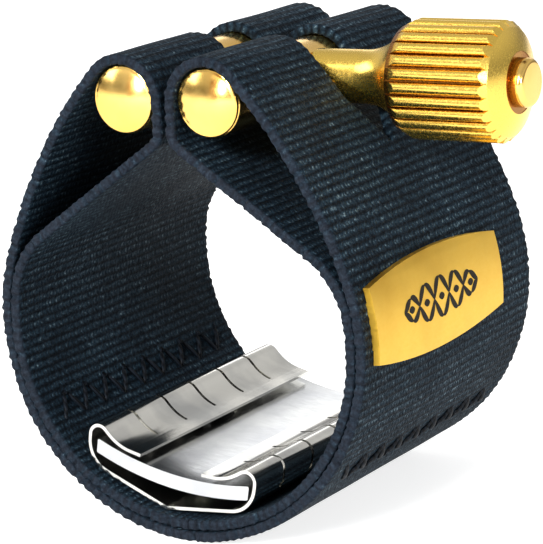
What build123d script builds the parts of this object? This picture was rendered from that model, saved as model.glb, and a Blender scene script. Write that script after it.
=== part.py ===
"""Saxophone ligature: a woven strap whose ends loop over two bars, drawn together by a thumb screw.

Frame, in millimetres: the origin is the centre of the mouthpiece opening, half way along the strap's width.
+X runs along the screw to its knob, +Y along the mouthpiece and +Z up, from the reed cradle to the bars.
"""

from build123d import *
import math
import os

os.makedirs("parts", exist_ok=True)

# --- driving dimensions ---------------------------------------------------------------------------------
# Strap: an outer band and a lining of the same webbing, on the ring round the mouthpiece
fabric = 0.8
strap_width = 27.0
ring_radius = 15.7
shoulder_radius = 40.0

# Bars that the strap's ends loop over
bar_radius = 2.57
loop_clearance = 0.03
bar_length = 26.6
bar_offset = 3.6
bar_height = 17.3
bar_dome = 0.3
bar_chamfer = 0.35

# Tails: the strap's ends, which come down inside the loops and join the lining
tail_slope = 35.0
tail_reach = 12.5
tail_hem_radius = 7.0
tail_bend_radius = 1.0

# The loops move with the bars, so the webbing is parted on a level plane that leaves the label below it
parting_height = 7.0
parting_gap = 0.3

# Window in each loop for the screw: straight over the bar, then narrowing to a point below it
window_half_width = 2.5
window_shoulder = 16.0
window_point = 12.3

# Thumb screw: a fine-threaded M3 rod with a turned and fluted knob pressed on it
rod_radius = 1.5
rod_tip = -6.0
rod_chamfer = 0.3
running_clearance = 0.05
nose_radius = 2.0
nose_seat = 5.4
nose_seat_radius = 2.2
seat_clearance = 0.03
flare_start = 9.4
flare_radius = 3.75
grip_start = 13.0
grip_end = 20.8
grip_core_radius = 4.0
grip_radius = 4.45
grip_chamfer = 0.5
flute_count = 26
dome_height = 1.0
nub_radius = 1.8
nub_end = 23.0
nub_fillet = 0.35
nub_ring_radius = 2.25
nub_ring_depth = 0.35

# Reed cradle: a thin spring sheet with a V floor and two slotted rails, and the bowed plate inside it.
# It sits a little round the ring from the point opposite the screw.
cradle_turn = 10.0
sheet = 0.25
cradle_length = 25.0
floor_depth = 14.0
floor_slope = 13.8
side_offset = 7.4
side_radius = 2.4
side_straight = 0.4
crest_radius = 0.9
crest_turn = 128.0
rail_drop = 0.5
rail_hollow_radius = 3.6
rail_hollow_turn = 33.0
rail_lip = 0.95
slot_width = 0.3
slot_pitch = 4.2
slot_count = 5
slot_inner_end = 3.9
slot_outer_height = -11.3
plate_half_width = 6.7
plate_thickness = 1.1
plate_middle = -11.2
plate_rise = 0.95
plate_length = 24.6
plate_fillet = 0.12

# Tabs of the cradle that pass through the lining and are clinched flat behind it
tab_spacing = 12.0
tab_width = 3.0
tab_foot = 1.5
slit_clearance = 0.1
tab_pocket = 0.45

# Label plate on the outer band, with an end prong that is clinched behind the band
label_thickness = 0.5
label_stand_off = 0.04
label_angle = 6.0
label_middle = -2.3
label_half_length = 9.8
label_half_height = 2.8
label_bulge = 0.9
prong_width = 3.4
prong_thickness = 0.3
prong_foot = 1.4

# Zigzag seams through both layers, at these angles below the level on each side
left_seam_angle = 30.0
right_seam_angle = 38.5
seam_reach = 11.6
stitch_count = 17
stitch_throw = 2.2
thread = 0.28
stitch_stand_off = 0.06

# --- worked out from them -------------------------------------------------------------------------------
band_inner = ring_radius - fabric
lining_inner = band_inner - fabric
loop_radius = bar_radius + loop_clearance


def point(radius, angle, centre=(0.0, 0.0)):
    """The point at a radius and an angle in degrees round a centre."""
    turn = math.radians(angle)
    return (centre[0] + radius * math.cos(turn), centre[1] + radius * math.sin(turn))


# The shoulder is one arc that the ring and the loop over the bar both touch from inside
bar_centre = (bar_offset, bar_height)
bar_distance = math.hypot(bar_offset, bar_height)
shoulder_to_ring = shoulder_radius - ring_radius
shoulder_to_bar = shoulder_radius - loop_radius - fabric
shoulder_cosine = (shoulder_to_ring**2 + bar_distance**2 - shoulder_to_bar**2) / (
    2 * shoulder_to_ring * bar_distance
)
bar_bearing = math.degrees(math.atan2(bar_height, bar_offset))
shoulder_centre = point(shoulder_to_ring, bar_bearing + math.degrees(math.acos(shoulder_cosine)))
wall_angle = math.degrees(math.atan2(-shoulder_centre[1], -shoulder_centre[0]))
crown_angle = math.degrees(
    math.atan2(bar_height - shoulder_centre[1], bar_offset - shoulder_centre[0])
)

# The tail's upper face is a slope at tail_reach from the origin, then an arc that touches the ring
slope_normal = 90.0 - tail_slope
hem_reach = band_inner - tail_hem_radius
hem_turn = math.degrees(math.acos((tail_reach - tail_hem_radius) / hem_reach))
hem_angle = slope_normal - hem_turn
hem_centre = point(hem_reach, hem_angle)
tail_side = bar_offset - loop_radius
bend_x = tail_side + tail_bend_radius
bend_z = (tail_reach + tail_bend_radius - bend_x * math.cos(math.radians(slope_normal))) / math.sin(
    math.radians(slope_normal)
)
bend_centre = (bend_x, bend_z)

screw_axis = Axis((0, 0, bar_height), (1, 0, 0))
screw_plane = Plane(origin=(0, 0, bar_height), x_dir=(1, 0, 0), z_dir=(0, -1, 0))
slot_positions = [(index - (slot_count - 1) / 2) * slot_pitch for index in range(slot_count)]


def dome_radius(rim, height):
    """Radius of the sphere that a dome of a given rim radius and height is cut from."""
    return (rim**2 + height**2) / (2 * height)


def radial_plane(radius, angle):
    """A plane square to the radius at an angle round the ring, with its x along the strap's width."""
    turn = math.radians(angle)
    outward = (math.cos(turn), 0, math.sin(turn))
    return Plane(origin=(radius * outward[0], 0, radius * outward[2]), x_dir=(0, 1, 0), z_dir=outward)


def draw_wall(depth):
    """One face of the right half of the outer band, depth outside its inner face."""
    ring = CenterArc((0, 0), band_inner + depth, -90, wall_angle + 90)
    CenterArc(
        shoulder_centre, shoulder_radius - fabric + depth, wall_angle, crown_angle - wall_angle
    )
    return ring @ 0, point(shoulder_radius - fabric + depth, crown_angle, shoulder_centre)


def draw_lining(depth):
    """One face of the right tail and lining, depth inside its outer face."""
    slope_top = point(tail_bend_radius + depth, 180 + slope_normal, bend_centre)
    hem_top = point(tail_hem_radius - depth, slope_normal, hem_centre)
    Line(slope_top, hem_top)
    CenterArc(hem_centre, tail_hem_radius - depth, slope_normal, -hem_turn)
    ring = CenterArc((0, 0), band_inner - depth, hem_angle, -90 - hem_angle)
    return slope_top, ring @ 1


def draw_loop(depth):
    """One face of the right loop over its bar, depth outside the face towards the bar."""
    shoulder = CenterArc(
        shoulder_centre, shoulder_radius - fabric + depth, wall_angle, crown_angle - wall_angle
    )
    crown = CenterArc(bar_centre, loop_radius + depth, crown_angle, 180 - crown_angle)
    drop = Line(crown @ 1, (tail_side - depth, bend_z))
    bend = CenterArc(bend_centre, tail_bend_radius + depth, 180, slope_normal)
    slope = Line(bend @ 1, point(tail_hem_radius - depth, slope_normal, hem_centre))
    hem = CenterArc(hem_centre, tail_hem_radius - depth, slope_normal, -hem_turn)
    return shoulder @ 0, hem @ 1


def close_strip(draw_face):
    """Two faces of one layer of webbing, joined at both ends."""
    near_start, near_end = draw_face(0)
    far_start, far_end = draw_face(fabric)
    Line(near_start, far_start)
    Line(near_end, far_end)


# --- strap ----------------------------------------------------------------------------------------------
with BuildPart() as strap_band:
    with BuildSketch(Plane.XZ):
        with BuildLine():
            close_strip(draw_wall)
        make_face()
    extrude(amount=strap_width / 2, both=True)
    mirror(about=Plane.YZ)
    split(bisect_by=Plane.XY.offset(parting_height), keep=Keep.BOTTOM)
    # Slits and hollows for the label plate's clinched end prongs
    for side in (-1, 1):
        with Locations(radial_plane(band_inner, label_angle)):
            with Locations((label_middle + side * (label_half_length - prong_thickness / 2), 0, 0)):
                Box(
                    prong_thickness + 2 * slit_clearance,
                    prong_width + 2 * slit_clearance,
                    4 * fabric,
                    mode=Mode.SUBTRACT,
                )
            with Locations((label_middle + side * (label_half_length - prong_foot / 2), 0, 0)):
                Box(
                    prong_foot + 2 * slit_clearance,
                    prong_width + 2 * slit_clearance,
                    2 * (prong_thickness + slit_clearance),
                    mode=Mode.SUBTRACT,
                )
strap_band.part.label = "strap_band"
export_step(strap_band.part, "parts/strap_band.step")

with BuildPart() as strap_lining:
    with BuildSketch(Plane.XZ):
        with BuildLine():
            close_strip(draw_lining)
        make_face()
    extrude(amount=strap_width / 2, both=True)
    mirror(about=Plane.YZ)
    split(bisect_by=Plane.XY.offset(parting_height), keep=Keep.BOTTOM)
    # Slits and hollows for the cradle's clinched tabs
    for side in (-1, 1):
        with Locations(radial_plane(band_inner, -90 - cradle_turn)):
            with Locations((side * tab_spacing / 2, 0, 0)):
                Box(
                    tab_width + 2 * slit_clearance,
                    sheet + 2 * slit_clearance,
                    4 * fabric,
                    mode=Mode.SUBTRACT,
                )
            with Locations((side * tab_spacing / 2, tab_foot / 2, 0)):
                Box(
                    tab_width + 2 * slit_clearance,
                    tab_foot + sheet + 2 * slit_clearance,
                    2 * tab_pocket,
                    mode=Mode.SUBTRACT,
                )
strap_lining.part.label = "strap_lining"
export_step(strap_lining.part, "parts/strap_lining.step")

window_points = [
    (-window_half_width, bar_height + 2 * loop_radius),
    (-window_half_width, window_shoulder),
    (0, window_point),
    (window_half_width, window_shoulder),
    (window_half_width, bar_height + 2 * loop_radius),
]
with BuildPart() as loop_right:
    with BuildSketch(Plane.XZ):
        with BuildLine():
            close_strip(draw_loop)
        make_face()
    extrude(amount=strap_width / 2, both=True)
    split(bisect_by=Plane.XY.offset(parting_height + parting_gap), keep=Keep.TOP)
    with BuildSketch(Plane.YZ):
        Polygon(*window_points, align=None)
    extrude(amount=2 * bar_height, both=True, mode=Mode.SUBTRACT)
loop_right.part.label = "loop_right"
export_step(loop_right.part, "parts/loop_right.step")

with BuildPart() as loop_left:
    add(mirror(loop_right.part, about=Plane.YZ))
loop_left.part.label = "loop_left"
export_step(loop_left.part, "parts/loop_left.step")


# --- bars -----------------------------------------------------------------------------------------------
def draw_bar_half():
    """Half section of a bar with domed ends, on a plane whose x is the radius and whose y is the length."""
    half = bar_length / 2
    edge = half - bar_dome
    rim = bar_radius - bar_chamfer
    dome = dome_radius(rim, bar_dome)
    Line((0, -half), (0, half))
    RadiusArc((0, half), (rim, edge), dome)
    Polyline((rim, edge), (bar_radius, edge - bar_chamfer), (bar_radius, bar_chamfer - edge), (rim, -edge))
    RadiusArc((rim, -edge), (0, -half), dome)


rod_hole_radius = rod_radius + running_clearance
for side, bar_x in (("left", -bar_offset), ("right", bar_offset)):
    with BuildPart() as bar:
        with BuildSketch(Plane.XY.offset(bar_height).shift_origin((bar_x, 0, bar_height))):
            with BuildLine():
                draw_bar_half()
            make_face()
        revolve(axis=Axis((bar_x, 0, bar_height), (0, 1, 0)))
        with BuildSketch(Plane.YZ):
            with Locations((0, bar_height)):
                Circle(rod_hole_radius)
        extrude(amount=3 * bar_offset, both=True, mode=Mode.SUBTRACT)
        if side == "right":
            # Flat-bottomed seat for the knob's nose
            with BuildSketch(Plane.YZ.offset(nose_seat)):
                with Locations((0, bar_height)):
                    Circle(nose_seat_radius)
            extrude(amount=bar_radius, mode=Mode.SUBTRACT)
    bar.part.label = f"bar_{side}"
    export_step(bar.part, f"parts/bar_{side}.step")

# --- thumb screw ----------------------------------------------------------------------------------------
grip_face = grip_end + grip_chamfer
with BuildPart() as thumb_screw_rod:
    with BuildSketch(Plane.YZ.offset(rod_tip)):
        with Locations((0, bar_height)):
            Circle(rod_radius)
    extrude(amount=grip_face + dome_height - nub_ring_depth - rod_tip)
    chamfer(thumb_screw_rod.faces().sort_by(Axis.X)[0].edges(), length=rod_chamfer)
    # Peened head that keeps the knob on the rod
    with BuildSketch(Plane.YZ.offset(grip_face + dome_height - nub_ring_depth)):
        with Locations((0, bar_height)):
            Circle(nub_radius)
    extrude(amount=nub_end - grip_face - dome_height + nub_ring_depth)
    fillet(thumb_screw_rod.faces().sort_by(Axis.X)[-1].edges(), radius=nub_fillet)
thumb_screw_rod.part.label = "thumb_screw_rod"
export_step(thumb_screw_rod.part, "parts/thumb_screw_rod.step")

with BuildPart() as thumb_screw_knob:
    # Fluted grip, its ends chamfered by a turned envelope
    with BuildSketch(Plane.YZ.offset(grip_start)):
        with Locations((0, bar_height)):
            Circle(grip_core_radius)
            with PolarLocations(grip_core_radius, flute_count):
                Circle(grip_radius - grip_core_radius)
    extrude(amount=grip_face - grip_start)
    with BuildSketch(screw_plane):
        Polygon(
            (grip_start, 0),
            (grip_start, grip_radius - grip_chamfer),
            (grip_start + 2 * grip_chamfer, grip_radius),
            (grip_end, grip_radius),
            (grip_face, grip_radius - grip_chamfer),
            (grip_face, 0),
            align=None,
        )
    revolve(axis=screw_axis, mode=Mode.INTERSECT)
    # Nose and flare to the left of the grip, low dome to the right of it
    with BuildSketch(screw_plane):
        with BuildLine():
            nose_face = nose_seat + seat_clearance
            Polyline((grip_start, 0), (nose_face, 0), (nose_face, nose_radius), (flare_start, nose_radius))
            flare = TangentArc((flare_start, nose_radius), (grip_start, flare_radius), tangent=(1, 0))
            Line(flare @ 1, (grip_start, 0))
        make_face()
        with BuildLine():
            grip_rim = grip_radius - grip_chamfer
            Line((grip_face, 0), (grip_face, grip_rim))
            RadiusArc(
                (grip_face, grip_rim), (grip_face + dome_height, 0), dome_radius(grip_rim, dome_height)
            )
            Line((grip_face + dome_height, 0), (grip_face, 0))
        make_face()
    revolve(axis=screw_axis)
    # Bore for the rod and a ring sunk round its head
    with BuildSketch(Plane.YZ):
        with Locations((0, bar_height)):
            Circle(rod_radius)
    extrude(amount=nub_end, mode=Mode.SUBTRACT)
    with BuildSketch(Plane.YZ.offset(grip_face + dome_height - nub_ring_depth)):
        with Locations((0, bar_height)):
            Circle(nub_ring_radius)
    extrude(amount=dome_height, mode=Mode.SUBTRACT)
thumb_screw_knob.part.label = "thumb_screw_knob"
export_step(thumb_screw_knob.part, "parts/thumb_screw_knob.step")


# --- reed cradle ----------------------------------------------------------------------------------------
def draw_cradle(depth):
    """One face of the right half of the spring sheet, depth inside the face that meets the lining."""
    rise = math.tan(math.radians(floor_slope))
    slant = depth / math.cos(math.radians(floor_slope))
    side_centre_x = side_offset - side_radius
    floor_end_x = side_centre_x + side_radius * math.sin(math.radians(floor_slope))
    side_z = -floor_depth + rise * floor_end_x + side_radius * math.cos(math.radians(floor_slope))
    crest_z = side_z + side_straight
    crest_centre = (side_offset - crest_radius, crest_z)
    side = point(side_radius - depth, floor_slope - 90, (side_centre_x, side_z))
    Line((0, slant - floor_depth), side)
    CenterArc((side_centre_x, side_z), side_radius - depth, floor_slope - 90, 90 - floor_slope)
    Line((side_offset - depth, side_z), (side_offset - depth, crest_z))
    crest = CenterArc(crest_centre, crest_radius - depth, 0, crest_turn)
    fall = point(rail_drop, crest_turn + 90)
    hollow_start = crest @ 1 + Vector(*fall)
    Line(crest @ 1, hollow_start)
    outward = point(rail_hollow_radius + depth, crest_turn)
    hollow_centre = (hollow_start.X + outward[0], hollow_start.Y + outward[1])
    hollow = CenterArc(
        hollow_centre, rail_hollow_radius + depth, crest_turn + 180, -rail_hollow_turn
    )
    lip_direction = point(rail_lip, crest_turn + 90 - rail_hollow_turn)
    lip = Line(hollow @ 1, hollow @ 1 + Vector(*lip_direction))
    return Vector(0, slant - floor_depth), lip @ 1


# Both pieces are drawn level, then turned round the ring
with BuildPart() as level_spring:
    with BuildSketch(Plane.XZ):
        with BuildLine():
            outer_start, outer_end = draw_cradle(0)
            inner_start, inner_end = draw_cradle(sheet)
            Line(outer_start, inner_start)
            Line(outer_end, inner_end)
        make_face()
    extrude(amount=cradle_length / 2, both=True)
    mirror(about=Plane.YZ)
    # Slots across each rail
    with Locations([(side * side_offset, y, 0) for side in (-1, 1) for y in slot_positions]):
        Box(
            2 * (side_offset - slot_inner_end),
            slot_width,
            -2 * slot_outer_height,
            mode=Mode.SUBTRACT,
        )
    # Tabs bent flat behind the lining
    foot_base = -band_inner + slit_clearance
    for side in (-1, 1):
        with Locations((0, side * tab_spacing / 2, foot_base)):
            Box(
                sheet,
                tab_width,
                -floor_depth + sheet / 2 - foot_base,
                align=(Align.CENTER, Align.CENTER, Align.MIN),
            )
            Box(tab_foot, tab_width, sheet, align=(Align.MIN, Align.CENTER, Align.MIN))
with BuildPart() as cradle_spring:
    add(level_spring.part, rotation=(0, cradle_turn, 0))
cradle_spring.part.label = "cradle_spring"
export_step(cradle_spring.part, "parts/cradle_spring.step")

with BuildPart() as level_plate:
    with BuildSketch(Plane.XZ):
        with BuildLine():
            plate_end = plate_middle + plate_rise
            top = ThreePointArc(
                (-plate_half_width, plate_end), (0, plate_middle), (plate_half_width, plate_end)
            )
            bottom = ThreePointArc(
                (-plate_half_width, plate_end - plate_thickness),
                (0, plate_middle - plate_thickness),
                (plate_half_width, plate_end - plate_thickness),
            )
            Line(top @ 0, bottom @ 0)
            Line(top @ 1, bottom @ 1)
        make_face()
    extrude(amount=plate_length / 2, both=True)
    fillet(level_plate.edges().filter_by(Axis.Y), radius=plate_fillet)
with BuildPart() as cradle_plate:
    add(level_plate.part, rotation=(0, cradle_turn, 0))
cradle_plate.part.label = "cradle_plate"
export_step(cradle_plate.part, "parts/cradle_plate.step")

# --- label plate ----------------------------------------------------------------------------------------
label_inner = ring_radius + label_stand_off
label_ends = (label_middle - label_half_length, label_middle + label_half_length)
with BuildPart() as label_plate:
    with BuildSketch(Plane.XZ.offset(-label_middle)):
        Circle(label_inner + label_thickness)
        Circle(label_inner, mode=Mode.SUBTRACT)
    extrude(amount=label_half_length, both=True)
    with BuildSketch(radial_plane(0, label_angle)):
        with BuildLine():
            upper = ThreePointArc(
                (label_ends[0], label_half_height),
                (label_middle, label_half_height + label_bulge),
                (label_ends[1], label_half_height),
            )
            lower = ThreePointArc(
                (label_ends[0], -label_half_height),
                (label_middle, -label_half_height - label_bulge),
                (label_ends[1], -label_half_height),
            )
            Line(upper @ 0, lower @ 0)
            Line(upper @ 1, lower @ 1)
        make_face()
    extrude(amount=2 * ring_radius, mode=Mode.INTERSECT)
    # End prongs, bent flat behind the band
    prong_base = band_inner + slit_clearance / 2
    prong_rise = label_inner + label_thickness / 2 - prong_base
    for side, end in zip((-1, 1), label_ends):
        with Locations(radial_plane(prong_base, label_angle)):
            with Locations((end - side * prong_thickness / 2, 0, 0)):
                Box(prong_thickness, prong_width, prong_rise, align=(Align.CENTER, Align.CENTER, Align.MIN))
            with Locations((end - side * prong_foot / 2, 0, 0)):
                Box(prong_foot, prong_width, prong_thickness, align=(Align.CENTER, Align.CENTER, Align.MIN))
label_plate.part.label = "label_plate"
export_step(label_plate.part, "parts/label_plate.step")

# --- seams ----------------------------------------------------------------------------------------------
stitch_step = 2 * seam_reach / stitch_count
stitch_lean = math.degrees(math.atan2(stitch_throw, stitch_step))
stitch_length = math.hypot(stitch_throw, stitch_step) - 2 * thread
seam_faces = [
    ring_radius + stitch_stand_off + thread / 2,
    lining_inner - stitch_stand_off - thread / 2,
]
for side, angle in (("left", 180 + left_seam_angle), ("right", -right_seam_angle)):
    with BuildPart() as seam:
        for radius in seam_faces:
            for index in range(stitch_count):
                place = (-seam_reach + (index + 0.5) * stitch_step, 0, 0)
                lean = stitch_lean if index % 2 else -stitch_lean
                with Locations(radial_plane(radius, angle) * Location(place, (0, 0, lean))):
                    Box(stitch_length, thread, thread)
    seam.part.label = f"seam_{side}"
    export_step(seam.part, f"parts/seam_{side}.step")
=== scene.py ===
import math

import bmesh
import bpy
from mathutils import Matrix, Vector, noise


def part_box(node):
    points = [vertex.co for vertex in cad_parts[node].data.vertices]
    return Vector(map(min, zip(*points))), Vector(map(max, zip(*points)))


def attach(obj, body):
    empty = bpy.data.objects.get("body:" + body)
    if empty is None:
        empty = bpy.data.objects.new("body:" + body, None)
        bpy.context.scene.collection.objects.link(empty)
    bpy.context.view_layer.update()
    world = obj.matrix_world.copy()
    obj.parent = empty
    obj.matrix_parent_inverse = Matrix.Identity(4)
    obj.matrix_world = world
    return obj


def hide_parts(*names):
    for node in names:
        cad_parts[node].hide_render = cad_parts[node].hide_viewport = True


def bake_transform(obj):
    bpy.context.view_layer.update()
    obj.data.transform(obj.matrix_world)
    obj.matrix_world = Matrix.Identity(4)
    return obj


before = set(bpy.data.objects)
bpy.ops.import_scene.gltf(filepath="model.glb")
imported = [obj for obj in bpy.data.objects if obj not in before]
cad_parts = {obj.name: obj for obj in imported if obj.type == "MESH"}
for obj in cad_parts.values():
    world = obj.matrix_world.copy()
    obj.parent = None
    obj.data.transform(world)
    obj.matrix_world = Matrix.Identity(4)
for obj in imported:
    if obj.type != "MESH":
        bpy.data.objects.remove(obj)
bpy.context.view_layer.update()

# The looks of a saxophone ligature, in metres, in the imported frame: the origin is the centre of the
# mouthpiece opening, +X runs along the screw to its knob, +Y along the mouthpiece and +Z up to the bars.
mm = 0.001

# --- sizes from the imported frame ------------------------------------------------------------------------
band_low, band_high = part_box("strap_band")
bar_low, bar_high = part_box("bar_right")
rod_low, rod_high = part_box("thumb_screw_rod")
label_low, label_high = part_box("label_plate")
ring_radius = -band_low.z
half_width = band_high.y
bar_x = (bar_low.x + bar_high.x) / 2
bar_z = (bar_low.z + bar_high.z) / 2
label_middle = (label_low.y + label_high.y) / 2

# --- webbing: the same arcs and runs that its CAD solids follow -------------------------------------------
fabric = 0.8 * mm
loop_radius = 2.6 * mm
shoulder_radius = 40 * mm
tail_slope = math.radians(35)
tail_reach = 12.5 * mm
tail_hem_radius = 7 * mm
tail_bend_radius = 1 * mm
window_half_width = 2.5 * mm
window_shoulder = 16 * mm
window_point = 12.3 * mm

# Weave: ribs across the strap, threads along it, and the mesh that carries them
rib_pitch = 0.64 * mm
rib_height = 0.03 * mm
thread_pitch = 0.42 * mm
rows_per_rib = 6
columns = 26

# Rims: sawn teeth that climb for most of their pitch and then drop, and a paler band beside the cut
rim_rounding = 0.16 * mm
rim_band = 0.45 * mm
tooth_pitch = 0.92 * mm
tooth_depth = 0.34 * mm
tooth_climb = 0.75
tooth_least = 0.65
tooth_drift = 0.35
fray = 0.25

# Slow unevenness: how far the faces sag, how far a rim wanders, and over what length
sag = 0.07 * mm
sag_length = 6 * mm
wander = 0.1 * mm
wander_length = 7 * mm

# Zigzag seams, at these angles below the level on the left (-1) and right (1)
seam_angles = {-1: math.radians(30), 1: math.radians(38.5)}
seam_reach = 11.6 * mm
seam_hollow = 0.07 * mm
stitch_count = 17
stitch_throw = 2.2 * mm
stitch_arch = 1.5
stitch_steps = 8
thread_radius = 0.17 * mm

# Screw: the thread's form, and the peened head on the rod's end. Starts and ends are places along X.
screw_pitch = 0.5 * mm
thread_depth = 0.27 * mm
thread_end = 4.2 * mm
thread_slope = 2.6
thread_crest = 0.15
lead_in = 0.6 * screw_pitch
rod_radius = 1.5 * mm
head_radius = 1.8 * mm
head_start = 21.95 * mm
head_step = 0.01 * mm
head_rounding = 0.4 * mm

# Knob: where its flutes run, their radii at the top and bottom, and the groove round the rod's head, which
# place the painted shade in the knob's colour
grip_start = 13.0 * mm
grip_end = 20.8 * mm
flute_top = 4.42 * mm
flute_bottom = 4.12 * mm
ring_wall = 2.27 * mm
ring_face = 22.08 * mm

# Polished domes on the bars' ends: places along Y, and the radii of the side and of the rim
dome_base = 12.72 * mm
dome_edge = 12.8 * mm
dome_rim = 13.0 * mm
dome_top = 13.45 * mm
dome_radius = 2.52 * mm
dome_rim_radius = 2.3 * mm

# Label ornament: a rope border on the label's face
label_radius = ring_radius + 0.54 * mm
label_angle = math.radians(6)
ornament_rise = 0.02 * mm
rope_length = 11.5 * mm
rope_height = 1.45 * mm
rope_eyes = 5
rope_stroke = 0.5 * mm
stroke_tip = 0.15
bead_length = 0.8 * mm
bead_width = 0.56 * mm

# Radii of the two layers' middles and of the face between them
band_middle = ring_radius - fabric / 2
lining_middle = ring_radius - 1.5 * fabric
band_inner = ring_radius - fabric


def polar(radius, angle, centre=(0.0, 0.0)):
    """The point at a radius and an angle round a centre, in the XZ plane."""
    return centre[0] + radius * math.cos(angle), centre[1] + radius * math.sin(angle)


def webbing_route():
    """The right half's middle line, from the bottom up the band, over the bar and back down the lining."""
    to_ring = shoulder_radius - ring_radius
    to_bar = shoulder_radius - loop_radius - fabric
    distance = math.hypot(bar_x, bar_z)
    turn = math.acos((to_ring**2 + distance**2 - to_bar**2) / (2 * to_ring * distance))
    shoulder = polar(to_ring, math.atan2(bar_z, bar_x) + turn)
    wall = math.atan2(-shoulder[1], -shoulder[0])
    crown = math.atan2(bar_z - shoulder[1], bar_x - shoulder[0])
    normal = math.pi / 2 - tail_slope
    hem_reach = band_inner - tail_hem_radius
    hem_turn = math.acos((tail_reach - tail_hem_radius) / hem_reach)
    hem = polar(hem_reach, normal - hem_turn)
    bend_x = bar_x - loop_radius + tail_bend_radius
    bend = (bend_x, (tail_reach + tail_bend_radius - bend_x * math.cos(normal)) / math.sin(normal))
    drop_x = bend_x - tail_bend_radius - fabric / 2
    slope_top = polar(tail_bend_radius + fabric / 2, math.pi + normal, bend)
    slope_end = polar(tail_hem_radius - fabric / 2, normal, hem)
    return [
        ("arc", (0.0, 0.0), band_middle, -math.pi / 2, wall),
        ("arc", shoulder, shoulder_radius - fabric / 2, wall, crown),
        ("arc", (bar_x, bar_z), loop_radius + fabric / 2, crown, math.pi),
        ("run", (drop_x, bar_z), (drop_x, bend[1])),
        ("arc", bend, tail_bend_radius + fabric / 2, math.pi, math.pi + normal),
        ("run", slope_top, slope_end),
        ("arc", hem, tail_hem_radius - fabric / 2, normal, normal - hem_turn),
        ("arc", (0.0, 0.0), lining_middle, normal - hem_turn, -math.pi / 2),
    ]


def stretch_length(stretch):
    """Length of one arc or straight run of a route."""
    if stretch[0] == "arc":
        return abs(stretch[4] - stretch[3]) * stretch[2]
    return math.dist(stretch[1], stretch[2])


def route_point(route, along):
    """Place and travel direction at a distance along a route."""
    for stretch in route:
        length = stretch_length(stretch)
        if along <= length or stretch is route[-1]:
            break
        along -= length
    if stretch[0] == "run":
        (x0, z0), (x1, z1) = stretch[1:]
        share = along / length
        return x0 + share * (x1 - x0), z0 + share * (z1 - z0), (x1 - x0) / length, (z1 - z0) / length
    _, centre, radius, first, last = stretch
    way = math.copysign(1, last - first)
    angle = first + way * along / radius
    x, z = polar(radius, angle, centre)
    return x, z, -way * math.sin(angle), way * math.cos(angle)


def window_at(z):
    """Half width of the screw's window at a height: straight, then narrowing to a point."""
    share = (z - window_point) / (window_shoulder - window_point)
    return window_half_width * min(max(share, 0.0), 1.0)


def steady(value, seed):
    """A smooth repeatable wander between about -1 and 1."""
    return noise.noise(Vector((value, seed, 0.37)))


def tooth(along, seed):
    """How far the sawn rim is cut back at a distance along the strap: uneven saw teeth with a fine fray."""
    place = along / tooth_pitch + tooth_drift * steady(along / (3 * tooth_pitch), seed)
    share = place - math.floor(place)
    size = tooth_least + (1 - tooth_least) * noise.cell(Vector((math.floor(place), seed, 0.5)))
    shape = share if share < tooth_climb else tooth_climb / (1 - tooth_climb) * (1 - share)
    fine = fray * abs(steady(along / (0.3 * tooth_pitch), seed + 9))
    return tooth_depth * (size * shape + fine)


def part_columns(width, window):
    """Distances from the rim across one part, with what rounding its edges takes off each face there."""
    rounding = min(rim_rounding, width / 4)
    steps = [0.0, 0.3 * rounding, rounding]
    inner = [rounding + (width - 2 * rounding) * k / columns for k in range(1, columns)]
    places = steps + inner + [width - d for d in reversed(steps)]
    cut = min(1.0, window / rim_rounding)
    out = []
    for place in places:
        edge, share = (place, 1.0) if place < width / 2 else (width - place, cut)
        near = max(0.0, 1 - edge / rounding)
        lost = rounding * (1 - math.sqrt(1 - near * near)) if near else 0.0
        out.append((place, share * lost))
    return out


def seam_near(x, z, side):
    """How near a point of the ring is to that side's seam, from 0 to 1."""
    away = abs(abs(math.atan2(z, abs(x))) - seam_angles[side]) * ring_radius if z < 0 else 1.0
    return max(0.0, 1 - (away / (0.75 * stitch_throw)) ** 2)


def webbing_row(mesh, side, route, along, place_of):
    """One row of vertex pairs across the strap, outer face first, and the window's half width there."""
    x, z, tx, tz = route_point(route, along)
    nx, nz = tz, -tx
    window = window_at(z)
    rib = rib_height * math.cos(2 * math.pi * along / rib_pitch)
    row = []
    for end in (-1, 1):
        seed = 3.1 * side + 1.7 * end
        rim = half_width - tooth(along, seed) + wander * steady(along / wander_length, seed)
        for distance, lost in part_columns(rim - window, window):
            y = end * (rim - distance)
            lift = sag * noise.noise(Vector((side * x, y, z)) / sag_length)
            under_seam = abs(y) < seam_reach + 0.5 * mm
            hollow = seam_hollow * seam_near(x, z, side) if under_seam else 0.0
            pair = []
            for face in (1, -1):
                depth = face * (fabric / 2 - rib_height - lost + rib) + lift
                if face > 0:
                    depth -= hollow
                vertex = mesh.verts.new((side * (x + nx * depth), y, z + nz * depth))
                place_of[vertex] = (along, y)
                pair.append(vertex)
            row.append(pair)
    return window, row


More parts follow.
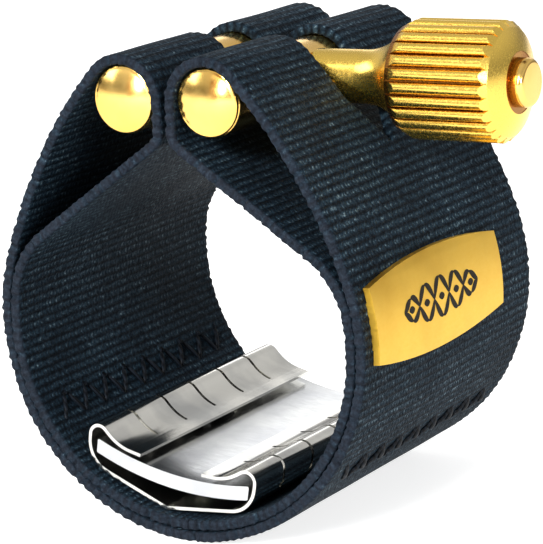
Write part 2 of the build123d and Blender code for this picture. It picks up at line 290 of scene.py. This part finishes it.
def join_rows(mesh, side, rows):
    """The faces of one half: both surfaces, the rims, the window's edges and the two cut ends."""
    count = len(rows[0][1]) // 2

    def quad(a, b, c, d):
        mesh.faces.new([a, b, c, d] if side > 0 else [d, c, b, a])

    for (low_window, low), (high_window, high) in zip(rows, rows[1:]):
        for part in (0, count):
            front = part == 0
            for k in range(part, part + count - 1):
                a, b, c, d = low[k], low[k + 1], high[k + 1], high[k]
                if not front:
                    a, b, c, d = b, a, d, c
                quad(a[0], d[0], c[0], b[0])
                quad(a[1], b[1], c[1], d[1])
            edges = [(low[part], high[part], front)]
            if max(low_window, high_window) > 0:
                edges.append((low[part + count - 1], high[part + count - 1], not front))
            for lower, upper, forward in edges:
                if forward:
                    quad(lower[0], lower[1], upper[1], upper[0])
                else:
                    quad(lower[0], upper[0], upper[1], lower[1])
    for end_row in (0, -1):
        row = rows[end_row][1]
        for part in (0, count):
            for k in range(part, part + count - 1):
                a, b = row[k], row[k + 1]
                if (end_row == 0) == (part == 0):
                    quad(a[0], b[0], b[1], a[1])
                else:
                    quad(a[0], a[1], b[1], b[0])


def webbing_half(name, side):
    """One half of the strap, both its layers and its loop, as one closed mesh, and its flat length."""
    route = webbing_route()
    total = sum(stretch_length(stretch) for stretch in route)
    row_count = round(total / rib_pitch * rows_per_rib)
    mesh = bmesh.new()
    uv = mesh.loops.layers.uv.new("strap")
    place_of = {}
    rows = [webbing_row(mesh, side, route, total * k / row_count, place_of) for k in range(row_count + 1)]
    join_rows(mesh, side, rows)
    for face in mesh.faces:
        face.smooth = True
        for loop in face.loops:
            loop[uv].uv = place_of[loop.vert]
    bmesh.ops.remove_doubles(mesh, verts=mesh.verts, dist=1e-7)
    bmesh.ops.recalc_face_normals(mesh, faces=mesh.faces)
    data = bpy.data.meshes.new(name)
    mesh.to_mesh(data)
    mesh.free()
    piece = bpy.data.objects.new(name, data)
    bpy.context.collection.objects.link(piece)
    return piece, total


def new_piece(name, points, faces, smooth=True):
    """A mesh piece from its points and faces."""
    data = bpy.data.meshes.new(name)
    data.from_pydata([tuple(point) for point in points], [], faces)
    data.validate()
    for polygon in data.polygons:
        polygon.use_smooth = smooth
    piece = bpy.data.objects.new(name, data)
    bpy.context.collection.objects.link(piece)
    return piece


# --- seams ----------------------------------------------------------------------------------------------
def tube(points, faces, line, radius, sides=8):
    """Adds a closed round tube along a line of points."""
    start = len(points)
    for index, place in enumerate(line):
        before, after = line[max(index - 1, 0)], line[min(index + 1, len(line) - 1)]
        ahead = (after - before).normalized()
        across = ahead.orthogonal().normalized()
        other = ahead.cross(across)
        for k in range(sides):
            turn = 2 * math.pi * k / sides
            points.append(place + radius * (math.cos(turn) * across + math.sin(turn) * other))
    for index in range(len(line) - 1):
        for k in range(sides):
            a = start + index * sides + k
            b = start + index * sides + (k + 1) % sides
            faces.append((a, b, b + sides, a + sides))
    faces.append(tuple(start + k for k in reversed(range(sides))))
    faces.append(tuple(start + (len(line) - 1) * sides + k for k in range(sides)))


def seam(name, side):
    """Every stitch of one zigzag seam, on the strap's outside and inside, diving in at both its ends."""
    points, faces = [], []
    middle = -seam_angles[side] if side > 0 else math.pi + seam_angles[side]
    for radius, outward in ((ring_radius, 1), (ring_radius - 2 * fabric, -1)):
        for index in range(stitch_count):
            line = []
            for k in range(stitch_steps + 1):
                share = k / stitch_steps
                y = seam_reach * (2 * (index + share) / stitch_count - 1)
                swing = (share - 0.5) * (1 if index % 2 else -1) * stitch_throw
                arch = stitch_arch * math.sin(math.pi * share) ** 0.6
                rise = thread_radius * (arch - 1.0) - seam_hollow
                angle = middle + swing / radius
                x, z = polar(radius + outward * rise, angle)
                line.append(Vector((x, y, z)))
            tube(points, faces, line, thread_radius)
    return new_piece(name, points, faces)


# --- screw ----------------------------------------------------------------------------------------------
def screw_mesh(name):
    """The thumb screw's rod: a cut thread with a lead-in, a plain shank and the peened head."""
    sides = 48
    places = []
    step = screw_pitch / 10
    x = rod_low.x
    while x < thread_end:
        places.append(x)
        x += step
    bend_steps = 6
    rim_start = rod_high.x - head_rounding
    places += [thread_end, head_start - head_step, head_start]
    for k in range(bend_steps + 1):
        places.append(rim_start + head_rounding * math.sin(math.pi / 2 * k / bend_steps))
    points, faces = [], []
    for x in places:
        for k in range(sides):
            turn = 2 * math.pi * k / sides
            if x < thread_end:
                wave = (x / screw_pitch - k / sides) % 1
                flank = min(1.0, max(0.0, thread_slope * abs(wave - 0.5) - thread_crest))
                fade = min(1.0, (thread_end - x) / screw_pitch)
                lead = max(0.0, 1 - (x - rod_low.x) / lead_in)
                radius = rod_radius - thread_depth * max(flank * fade, lead)
            elif x < head_start:
                radius = rod_radius
            elif x <= rim_start:
                radius = head_radius
            else:
                share = (x - rim_start) / head_rounding
                radius = head_radius - head_rounding * (1 - math.sqrt(max(0.0, 1 - share * share)))
            points.append((x, radius * math.cos(turn), bar_z + radius * math.sin(turn)))
    for row in range(len(places) - 1):
        for k in range(sides):
            a, b = row * sides + k, row * sides + (k + 1) % sides
            faces.append((a, b, b + sides, a + sides))
    faces.append(tuple(reversed(range(sides))))
    last = (len(places) - 1) * sides
    faces.append(tuple(last + k for k in range(sides)))
    return new_piece(name, points, faces)


def bar_domes(name, centre_x):
    """The two polished domes of one bar, each a turned lens that sits on the bar's end."""
    sides, rings, rounding = 64, 20, 6
    points, faces = [], []
    for end in (-1, 1):
        profile = [(0.0, dome_base), (dome_radius, dome_base)]
        for k in range(rounding + 1):
            turn = math.pi / 2 * k / rounding
            inward = (dome_radius - dome_rim_radius) * (1 - math.cos(turn))
            profile.append((dome_radius - inward, dome_edge + (dome_rim - dome_edge) * math.sin(turn)))
        sphere = (dome_rim_radius**2 + (dome_top - dome_rim) ** 2) / (2 * (dome_top - dome_rim))
        for k in range(1, rings + 1):
            radius = dome_rim_radius * (1 - k / rings)
            profile.append((radius, dome_top - sphere + math.sqrt(sphere**2 - radius**2)))
        start = len(points)
        points.append((centre_x, end * dome_base, bar_z))
        for radius, y in profile[1:-1]:
            for k in range(sides):
                turn = 2 * math.pi * k / sides
                points.append((centre_x + radius * math.cos(turn), end * y, bar_z + radius * math.sin(turn)))
        points.append((centre_x, end * dome_top, bar_z))
        last = len(points) - 1
        loops = len(profile) - 2
        for k in range(sides):
            after = (k + 1) % sides
            first = (start, start + 1 + after, start + 1 + k)
            tip = start + 1 + (loops - 1) * sides
            cap = (last, tip + k, tip + after)
            faces.append(first if end > 0 else first[::-1])
            faces.append(cap if end > 0 else cap[::-1])
            for row in range(loops - 1):
                a, b = start + 1 + row * sides + k, start + 1 + row * sides + after
                wall = (a, b, b + sides, a + sides)
                faces.append(wall if end > 0 else wall[::-1])
    piece = new_piece(name, points, faces)
    mesh = bmesh.new()
    mesh.from_mesh(piece.data)
    bmesh.ops.recalc_face_normals(mesh, faces=mesh.faces)
    mesh.to_mesh(piece.data)
    mesh.free()
    return piece


# --- label ornament ---------------------------------------------------------------------------------------
def on_label(along, up, rise):
    """A point on the label's face, from distances along and across it."""
    x, z = polar(label_radius + rise, label_angle + up / label_radius)
    return Vector((x, label_middle + along, z))


def stroke(points, faces, line, width):
    """Adds a flat tapering stroke along a line of (along, up) places on the label."""
    start = len(points)
    for index, (a, u) in enumerate(line):
        before, after = line[max(index - 1, 0)], line[min(index + 1, len(line) - 1)]
        da, du = after[0] - before[0], after[1] - before[1]
        size = math.hypot(da, du) or 1.0
        share = index / (len(line) - 1)
        half = width * (stroke_tip + (1 - stroke_tip) * math.sin(math.pi * share) ** 0.8) / 2
        for end, level in ((1, 1), (-1, 1), (-1, -1), (1, -1)):
            place = (a - end * half * du / size, u + end * half * da / size)
            points.append(on_label(*place, level * ornament_rise))
    for index in range(len(line) - 1):
        for k in range(4):
            a = start + 4 * index + k
            b = start + 4 * index + (k + 1) % 4
            faces.append((a, a + 4, b + 4, b))
    faces.append(tuple(start + k for k in range(4)))
    faces.append(tuple(start + 4 * (len(line) - 1) + k for k in reversed(range(4))))


def ornament(name):
    """A plain rope border: two mirrored waves that fade out at both ends, with a bead in each eye."""
    points, faces = [], []
    for way in (-1, 1):
        for part in range(2 * rope_eyes):
            line = []
            for k in range(17):
                share = (part + k / 16) / (2 * rope_eyes)
                along = rope_length * (share - 0.5)
                height = rope_height * math.sin(math.pi * min(max(share, 0.03), 0.97)) ** 0.5
                line.append((along, way * height * math.cos(math.pi * rope_eyes * share + math.pi / 2)))
            stroke(points, faces, line, rope_stroke)
    for eye in range(rope_eyes):
        middle = rope_length * ((eye + 0.5) / rope_eyes - 0.5)
        bead = [(middle + bead_length * (k / 8 - 0.5), 0.0) for k in range(9)]
        stroke(points, faces, bead, bead_width)
    return new_piece(name, points, faces, smooth=False)


# --- materials ------------------------------------------------------------------------------------------
class Nodes:
    """A short way to build one material's node tree."""

    def __init__(self, name):
        self.material = bpy.data.materials.new(name)
        self.material.use_nodes = True
        self.tree = self.material.node_tree
        self.shader = self.tree.nodes["Principled BSDF"]

    def set(self, **values):
        """Sets the shader's own sockets."""
        for key, value in values.items():
            self.shader.inputs[key.replace("_", " ")].default_value = value

    def drive(self, socket, source):
        """Feeds one of the shader's sockets."""
        self.link(source, self.shader.inputs[socket])

    def add(self, kind, **settings):
        """A new node with its settings."""
        node = self.tree.nodes.new(kind)
        for key, value in settings.items():
            setattr(node, key, value)
        return node

    def link(self, source, target):
        self.tree.links.new(source, target)

    def math(self, operation, first, second=None):
        """A math node's result, from sockets or numbers."""
        node = self.add("ShaderNodeMath", operation=operation)
        for index, value in enumerate((first, second)):
            if value is None:
                continue
            if isinstance(value, (int, float)):
                node.inputs[index].default_value = value
            else:
                self.link(value, node.inputs[index])
        return node.outputs[0]

    def noise(self, vector, scale, detail=2.0, rough=0.5):
        """A noise texture's value, with its scale in features per metre."""
        node = self.add("ShaderNodeTexNoise")
        node.inputs["Scale"].default_value = scale
        node.inputs["Detail"].default_value = detail
        node.inputs["Roughness"].default_value = rough
        self.link(vector, node.inputs["Vector"])
        return node.outputs[0]

    def ramp(self, factor, stops):
        """A colour ramp through (place, colour) stops."""
        node = self.add("ShaderNodeValToRGB")
        elements = node.color_ramp.elements
        while len(elements) < len(stops):
            elements.new(0.5)
        for element, (place, colour) in zip(elements, stops):
            element.position = place
            element.color = (*colour, 1.0)
        self.link(factor, node.inputs[0])
        return node.outputs[0]

    def grey_ramp(self, factor, low, high):
        """A ramp between two (place, value) stops, for a roughness."""
        return self.ramp(factor, [(place, (value,) * 3) for place, value in (low, high)])

    def bump(self, height, distance, strength):
        """A bumped normal from a height."""
        node = self.add("ShaderNodeBump")
        node.inputs["Strength"].default_value = strength
        node.inputs["Distance"].default_value = distance
        self.link(height, node.inputs["Height"])
        return node.outputs[0]


def webbing_material():
    """Navy-black rubberised webbing: ribs of plump threads, with painted shade in the gaps between them and
    painted light on their tops, pale specks and a sawn rim.
    """
    n = Nodes("webbing")
    place = n.add("ShaderNodeTexCoord")
    strap = n.add("ShaderNodeSeparateXYZ")
    n.link(place.outputs["UV"], strap.inputs[0])
    along, across = strap.outputs[0], strap.outputs[1]
    drift = n.noise(place.outputs["Object"], 420, 2.0)
    fibre = n.noise(place.outputs["Object"], 7000, 2.0, 0.6)
    grain = n.noise(place.outputs["Object"], 3400, 4.0, 0.75)
    cloud = n.noise(place.outputs["Object"], 140, 3.0)

    # Ribs and the threads in them, both a little uneven; every second rib's threads are half a thread over
    shift = n.math("MULTIPLY", n.math("SUBTRACT", drift, 0.5), 0.22)
    rib = n.math("ADD", n.math("DIVIDE", along, rib_pitch), shift)
    lane = n.math("DIVIDE", across, thread_pitch)
    lane = n.math("ADD", lane, n.math("MULTIPLY", n.math("FLOOR", rib), 0.5))
    lane = n.math("ADD", lane, n.math("MULTIPLY", shift, 1.6))
    swell = n.math("ABSOLUTE", n.math("COSINE", n.math("MULTIPLY", rib, math.pi)))
    swell = n.math("POWER", n.math("SUBTRACT", 1.0, n.math("POWER", swell, 3.0)), 0.7)
    plump = n.math("ABSOLUTE", n.math("SINE", n.math("MULTIPLY", lane, math.pi)))
    plump = n.math("POWER", plump, 0.6)
    weave = n.math("MULTIPLY", swell, n.math("ADD", n.math("MULTIPLY", plump, 0.6), 0.4))

    # The weave is pressed flat towards the rims
    rim = n.math("SUBTRACT", n.math("ABSOLUTE", across), half_width - rim_band)
    rim = n.math("MINIMUM", n.math("MAXIMUM", n.math("DIVIDE", rim, rim_band), 0.0), 1.0)
    weave = n.math("MULTIPLY", weave, n.math("SUBTRACT", 1.0, n.math("MULTIPLY", rim, 0.85)))

    height = n.math("ADD", weave, n.math("MULTIPLY", grain, 0.9))
    height = n.math("ADD", height, n.math("MULTIPLY", fibre, 0.45))
    n.drive("Normal", n.bump(height, 0.08 * mm, 1.0))

    # Colour: random grain and cloud give the fibre's own tone, and the weave and swell terms add painted
    # shade in the gaps and painted light on the rib and thread tops
    tone = n.math("MULTIPLY", grain, 0.62)
    for layer, weight in ((weave, 0.11), (swell, 0.07), (cloud, 0.14)):
        tone = n.math("ADD", tone, n.math("MULTIPLY", layer, weight))
    # Stops from dark to pale: the darkest stop lands in the gaps as painted shade, the high stop lands on the
    # tops as painted light, and the grain spreads them at random
    gap_shade, body, high, speck = (
        (0.37, (0.0006, 0.0011, 0.0021)),
        (0.49, (0.0036, 0.0080, 0.0135)),
        (0.59, (0.0130, 0.0270, 0.0400)),
        (0.68, (0.1300, 0.1900, 0.2200)),
    )
    mix = n.add("ShaderNodeMix", data_type="RGBA")
    n.link(n.math("MULTIPLY", rim, grain), mix.inputs["Factor"])
    n.link(n.ramp(tone, [gap_shade, body, high, speck]), mix.inputs[6])
    mix.inputs[7].default_value = (0.016, 0.018, 0.026, 1.0)
    n.drive("Base Color", mix.outputs[2])
    n.drive("Roughness", n.grey_ramp(grain, (0.35, 0.85), (0.7, 0.5)))
    n.set(Specular_IOR_Level=0.10, Specular_Tint=(0.65, 0.85, 1.0, 1.0))
    n.set(Sheen_Weight=0.008, Sheen_Roughness=0.4, Sheen_Tint=(0.55, 0.68, 0.85, 1.0))
    return n.material


def thread_material():
    """Black twisted sewing thread."""
    n = Nodes("thread")
    place = n.add("ShaderNodeTexCoord").outputs["Object"]
    twist = n.add("ShaderNodeTexWave", bands_direction="DIAGONAL")
    twist.inputs["Scale"].default_value = 900
    twist.inputs["Distortion"].default_value = 1.0
    n.link(place, twist.inputs["Vector"])
    grain = n.noise(place, 6000, 2.0)
    tone = n.math("MULTIPLY", n.math("ADD", twist.outputs["Fac"], grain), 0.5)
    dark, light = (0.0006, 0.0009, 0.0015), (0.006, 0.009, 0.014)
    n.drive("Base Color", n.ramp(tone, [(0.25, dark), (0.8, light)]))
    n.drive("Normal", n.bump(tone, 0.06 * mm, 0.7))
    n.set(Roughness=0.5, Specular_IOR_Level=0.12)
    return n.material


def metal_material(name, light, dark, roughness, grain_scale, scratch, bump):
    """Polished or satin metal: faint tarnish, handling marks and fine scratches stretched along one way."""
    n = Nodes(name)
    place = n.add("ShaderNodeTexCoord").outputs["Object"]
    mapping = n.add("ShaderNodeMapping")
    mapping.inputs["Scale"].default_value = scratch
    n.link(place, mapping.inputs["Vector"])
    streak = n.noise(mapping.outputs[0], grain_scale, 4.0, 0.6)
    cloud = n.noise(place, 220, 3.0)
    tone = n.math("ADD", n.math("MULTIPLY", streak, 0.6), n.math("MULTIPLY", cloud, 0.4))
    smooth, rough = roughness
    n.drive("Base Color", n.ramp(cloud, [(0.3, dark), (0.6, light)]))
    n.drive("Roughness", n.grey_ramp(tone, (0.35, smooth), (0.7, rough)))
    n.drive("Normal", n.bump(streak, bump, 0.5))
    n.set(Metallic=1.0)
    return n.material


def knob_material():
    """Satin gold plate, with painted shade darkening it down its flutes and in the groove round the rod's
    head.
    """
    n = Nodes("knob_gold")
    place = n.add("ShaderNodeTexCoord").outputs["Object"]
    split = n.add("ShaderNodeSeparateXYZ")
    n.link(place, split.inputs[0])
    along, across, high = split.outputs
    up = n.math("SUBTRACT", high, bar_z)
    radius = n.math("ADD", n.math("POWER", across, 2.0), n.math("POWER", up, 2.0))
    radius = n.math("SQRT", radius)

    # Painted shade: the colour darkens down into the flutes and inside the groove round the rod's head
    depth = n.math("DIVIDE", n.math("SUBTRACT", flute_top, radius), flute_top - flute_bottom)
    past_start = n.math("GREATER_THAN", along, grip_start)
    in_grip = n.math("MULTIPLY", past_start, n.math("LESS_THAN", along, grip_end))
    past_end = n.math("GREATER_THAN", along, grip_end)
    in_groove = n.math("MULTIPLY", past_end, n.math("LESS_THAN", along, ring_face))
    in_groove = n.math("MULTIPLY", in_groove, n.math("LESS_THAN", radius, ring_wall))
    painted_shade = n.math("MAXIMUM", n.math("MULTIPLY", depth, in_grip), in_groove)

    grain = n.noise(place, 6500, 4.0, 0.6)
    cloud = n.noise(place, 300, 3.0)
    tone = n.math("ADD", painted_shade, n.math("MULTIPLY", n.math("SUBTRACT", cloud, 0.5), 0.3))
    # The ramp runs from plain gold through half shade to the deep painted shade at the flute bottoms and in
    # the groove; the cloud adds a faint random tone
    bright, half_shade, deep_shade = (1.00, 0.67, 0.13), (0.94, 0.53, 0.08), (0.32, 0.13, 0.02)
    n.drive("Base Color", n.ramp(tone, [(0.25, bright), (0.65, half_shade), (1.0, deep_shade)]))
    n.drive("Roughness", n.grey_ramp(grain, (0.35, 0.18), (0.7, 0.32)))
    n.drive("Normal", n.bump(grain, 0.002 * mm, 0.5))
    n.set(Metallic=1.0)
    return n.material


def enamel_material():
    """Dark printed enamel of the label's ornament."""
    n = Nodes("enamel")
    place = n.add("ShaderNodeTexCoord").outputs["Object"]
    grain = n.noise(place, 5000, 3.0)
    dark, light = (0.004, 0.003, 0.002), (0.018, 0.012, 0.006)
    n.drive("Base Color", n.ramp(grain, [(0.3, dark), (0.75, light)]))
    n.drive("Normal", n.bump(grain, 0.01 * mm, 0.6))
    n.set(Roughness=0.6, Specular_IOR_Level=0.15)
    return n.material


def finish_piece(piece, material):
    """Gives a piece its one material."""
    piece.data.materials.clear()
    piece.data.materials.append(material)


def finish_node(node, material):
    """Puts a material in every slot of a CAD node's object."""
    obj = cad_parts[node]
    for index in range(len(obj.material_slots)):
        obj.material_slots[index].link = "OBJECT"
        obj.material_slots[index].material = material


gold = metal_material(
    "gold_plate",
    light=(0.98, 0.64, 0.18),
    dark=(0.92, 0.54, 0.12),
    roughness=(0.12, 0.24),
    grain_scale=1500,
    scratch=(1, 1, 1),
    bump=0.003 * mm,
)
bright_sheet = metal_material(
    "bright_sheet",
    light=(0.84, 0.82, 0.76),
    dark=(0.56, 0.56, 0.54),
    roughness=(0.08, 0.20),
    grain_scale=3000,
    scratch=(1, 0.06, 1),
    bump=0.003 * mm,
)
bright_plate = metal_material(
    "bright_plate",
    light=(0.70, 0.71, 0.71),
    dark=(0.52, 0.53, 0.55),
    roughness=(0.14, 0.26),
    grain_scale=3000,
    scratch=(0.2, 1, 1),
    bump=0.002 * mm,
)
satin_brass = metal_material(
    "satin_brass",
    light=(0.83, 0.52, 0.07),
    dark=(0.74, 0.43, 0.045),
    roughness=(0.34, 0.52),
    grain_scale=4200,
    scratch=(1, 0.5, 1),
    bump=0.012 * mm,
)
webbing = webbing_material()
thread = thread_material()

# --- pieces, and what each one stands for and moves with ------------------------------------------------
# Each webbing piece is half of both layers and one whole loop. The band goes with the right piece and the
# lining with the left one, so those two names aren't one to one.
for side, word in ((-1, "left"), (1, "right")):
    piece, length = webbing_half(f"webbing_{word}", side)
    finish_piece(piece, webbing)
    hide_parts(*(("strap_band", "loop_right") if side > 0 else ("strap_lining", "loop_left")))
    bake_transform(piece)
    stitches = seam(f"stitches_{word}", side)
    finish_piece(stitches, thread)
    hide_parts(f"seam_{word}")
    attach(stitches, "strap")

for side, word in ((-1, "left"), (1, "right")):
    domes = bar_domes(f"bar_domes_{word}", side * bar_x)
    finish_piece(domes, gold)
    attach(domes, f"{word}_end")

screw = screw_mesh("thumb_screw_thread")
finish_piece(screw, gold)
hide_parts("thumb_screw_rod")
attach(screw, "thumb_screw")

rope = ornament("label_ornament")
finish_piece(rope, enamel_material())
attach(rope, "strap")

# The CAD's own nodes that only take a material
for node, material in (
    ("bar_left", gold),
    ("bar_right", gold),
    ("thumb_screw_knob", knob_material()),
    ("cradle_spring", bright_sheet),
    ("cradle_plate", bright_plate),
    ("label_plate", satin_brass),
):
    finish_node(node, material)


# --- studio ---------------------------------------------------------------------------------------------
def paper_material(name, colour, roughness, glow=0.0):
    """Plain studio paper with a very faint cloud in it, and a glow that keeps a floor pale."""
    n = Nodes(name)
    place = n.add("ShaderNodeTexCoord").outputs["Object"]
    cloud = n.noise(place, 6, 2.0)
    faint = tuple(0.98 * channel for channel in colour)
    n.drive("Base Color", n.ramp(cloud, [(0.3, faint), (0.7, colour)]))
    n.set(Roughness=roughness, Specular_IOR_Level=0.2)
    n.set(Emission_Color=(1, 1, 1, 1), Emission_Strength=glow)
    return n.material


def rectangle(name, width, depth):
    """A flat rectangle, centred on its own origin and facing up."""
    x, y = width / 2, depth / 2
    return new_piece(name, [(-x, -y, 0), (x, -y, 0), (x, y, 0), (-x, y, 0)], [(0, 1, 2, 3)], smooth=False)


def face_object(obj, place):
    """Puts a card or lamp in place with its lower side, which a lamp shines from, towards the object."""
    obj.location = place
    obj.rotation_mode = "QUATERNION"
    obj.rotation_quaternion = Vector(place).to_track_quat("Z", "Y")


def card(name, place, size, colour):
    """A card that only shows in reflections."""
    obj = rectangle(name, *size)
    face_object(obj, place)
    finish_piece(obj, paper_material(f"{name}_paper", colour, 1.0))
    obj.visible_camera = False
    obj.visible_diffuse = False
    obj.visible_shadow = False
    obj.visible_transmission = False


def lamp(name, place, size, power):
    """A soft rectangular lamp."""
    data = bpy.data.lights.new(name, "AREA")
    data.shape = "RECTANGLE"
    data.size, data.size_y = size
    data.energy = power
    obj = bpy.data.objects.new(name, data)
    face_object(obj, place)
    bpy.context.collection.objects.link(obj)


def studio_world(stops, strength):
    """A grey surround whose brightness changes with height, through (height, brightness) stops."""
    world = bpy.data.worlds.new("studio")
    world.use_nodes = True
    nodes, links = world.node_tree.nodes, world.node_tree.links
    place = nodes.new("ShaderNodeTexCoord")
    split = nodes.new("ShaderNodeSeparateXYZ")
    ramp = nodes.new("ShaderNodeValToRGB")
    elements = ramp.color_ramp.elements
    while len(elements) < len(stops):
        elements.new(0.5)
    for element, (height, bright) in zip(elements, stops):
        element.position = height
        element.color = (bright, bright, bright, 1.0)
    links.new(place.outputs["Generated"], split.inputs[0])
    links.new(split.outputs["Z"], ramp.inputs[0])
    links.new(ramp.outputs[0], nodes["Background"].inputs["Color"])
    nodes["Background"].inputs["Strength"].default_value = strength
    return world


floor = rectangle("floor", 6, 6)
floor.location.z = -ring_radius - 0.05 * mm
finish_piece(floor, paper_material("floor_paper", (0.55, 0.55, 0.55), 0.9, glow=0.75))

card("streak_card", (-0.13, -0.48, 0.07), (0.09, 0.30), (0.20, 0.08, 0.02))
card("dark_card_top", (0.02, 0.16, 0.36), (0.30, 0.12), (0.05, 0.03, 0.015))
lamp("key", (0.05, -0.52, 0.27), (0.13, 0.13), 5.0)
lamp("glint", (-0.03, -0.49, 0.12), (0.06, 0.12), 0.6)
lamp("fill", (-0.45, -0.25, 0.30), (0.35, 0.35), 1.8)
lamp("back", (-0.16, 0.42, 0.16), (0.30, 0.10), 0.1)
lamp("side", (0.42, -0.26, 0.12), (0.12, 0.12), 1.0)

sky_stops = [(0.0, 0.55), (0.10, 0.35), (0.25, 0.75), (0.42, 1.0), (0.7, 0.75), (1.0, 1.0)]
bpy.context.scene.world = studio_world(sky_stops, 0.65)
bpy.context.scene.view_settings.view_transform = "Standard"

# --- camera ---------------------------------------------------------------------------------------------
# The lens is in millimetres on a sensor of 36 mm. The centre is how far the view's middle is from the origin.
azimuth = math.radians(31.6)
elevation = math.radians(12.9)
roll = math.radians(3.2)
distance = 215.4 * mm
centre_right = 0.10 * mm
centre_up = 1.75 * mm
sensor = 36.0
lens = 185.3

back = Vector((0, 0, math.sin(elevation)))
back.x = math.sin(azimuth) * math.cos(elevation)
back.y = -math.cos(azimuth) * math.cos(elevation)
level_right = Vector((math.cos(azimuth), math.sin(azimuth), 0))
level_up = back.cross(level_right)
right = level_right * math.cos(roll) - level_up * math.sin(roll)
up = level_right * math.sin(roll) + level_up * math.cos(roll)
camera_data = bpy.data.cameras.new("camera")
camera_data.sensor_width = sensor
camera_data.lens = lens
camera_data.clip_start = 0.01
camera_data.clip_end = 20
camera = bpy.data.objects.new("camera", camera_data)
place = back * distance + right * centre_right + up * centre_up
camera.matrix_world = Matrix.Translation(place) @ Matrix((right, up, back)).transposed().to_4x4()
bpy.context.collection.objects.link(camera)
bpy.context.scene.camera = camera
